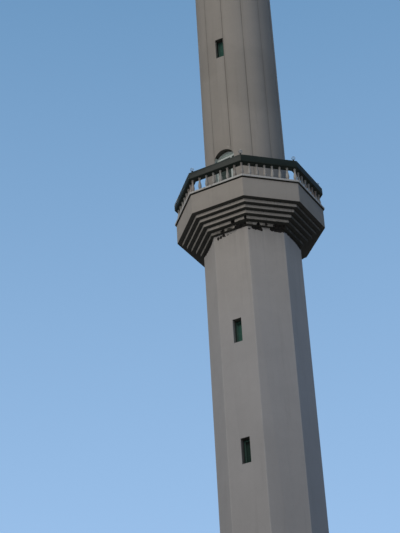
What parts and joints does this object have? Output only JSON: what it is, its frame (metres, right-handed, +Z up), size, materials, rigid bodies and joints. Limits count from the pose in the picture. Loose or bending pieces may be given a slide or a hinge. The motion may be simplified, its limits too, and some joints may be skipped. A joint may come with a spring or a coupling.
{
  "type": "minaret scale model, 1:2",
  "caption": "Half-size scale model of a slender plastered minaret: octagonal shaft, stepped corbel, balcony with turned balusters, round lobed upper shaft, pointed cap and finial.",
  "frame": {"origin": "middle of the underside of the ground floor, on the flat face that the tower stands on", "axes": "+Z up along the tower's axis, -Y to the front with the slit windows, +X to the right"},
  "size_m": [2.6422, 2.6422, 26.8367],
  "materials": {
    "wall_plaster": "rough cement plaster, weathered, pale grey-beige",
    "corbel_plaster": "rough cement plaster with dark grime under the ledges",
    "floor_concrete": "bare concrete",
    "baluster_cream": "cast stone, painted cream, chalky",
    "rail_green": "concrete coping, painted dark green, glossy",
    "window_green": "green painted frame and pane",
    "door_white": "white painted frame",
    "door_green": "dark green paint",
    "pale_glass": "dusty pale green glass",
    "cap_sheet": "green sheet metal, satin",
    "finial_metal": "dull weathered metal"
  },
  "bodies": {
    "root": {"lower_wall_front": "wall_plaster", "lower_wall_front_right": "wall_plaster", "lower_wall_right": "wall_plaster", "lower_wall_back_right": "wall_plaster", "lower_wall_back": "wall_plaster", "lower_wall_back_left": "wall_plaster", "lower_wall_left": "wall_plaster", "lower_wall_front_left": "wall_plaster", "entrance_pier_left": "wall_plaster", "entrance_pier_right": "wall_plaster", "balcony_pier_left": "wall_plaster", "balcony_pier_right": "wall_plaster", "upper_wall_front": "wall_plaster", "upper_wall_right": "wall_plaster", "upper_wall_back": "wall_plaster", "upper_wall_left": "wall_plaster", "plinth": "wall_plaster", "corbel_course_1": "corbel_plaster", "corbel_course_2": "corbel_plaster", "corbel_course_3": "corbel_plaster", "corbel_course_4": "corbel_plaster", "corbel_course_5": "corbel_plaster", "balcony_band": "corbel_plaster", "cornice": "corbel_plaster", "ground_floor": "floor_concrete", "balcony_deck": "floor_concrete", "slit_window_1": "window_green", "slit_window_2": "window_green", "slit_window_3": "window_green", "slit_window_4": "window_green", "slit_window_5": "window_green", "slit_window_6": "window_green", "slit_window_7": "window_green", "balustrade_front": "baluster_cream", "balustrade_front_right": "baluster_cream", "balustrade_right": "baluster_cream", "balustrade_back_right": "baluster_cream", "balustrade_back": "baluster_cream", "balustrade_back_left": "baluster_cream", "balustrade_left": "baluster_cream", "balustrade_front_left": "baluster_cream", "handrail": "rail_green", "entrance_frame": "door_white", "balcony_door_frame": "door_white", "entrance_door": "door_green", "balcony_door": "door_green", "balcony_side_leaf": "door_green", "balcony_fanlight": "pale_glass", "cap": "cap_sheet", "finial_stem": "finial_metal", "finial_crescent": "finial_metal"}
  },
  "joints": []
}
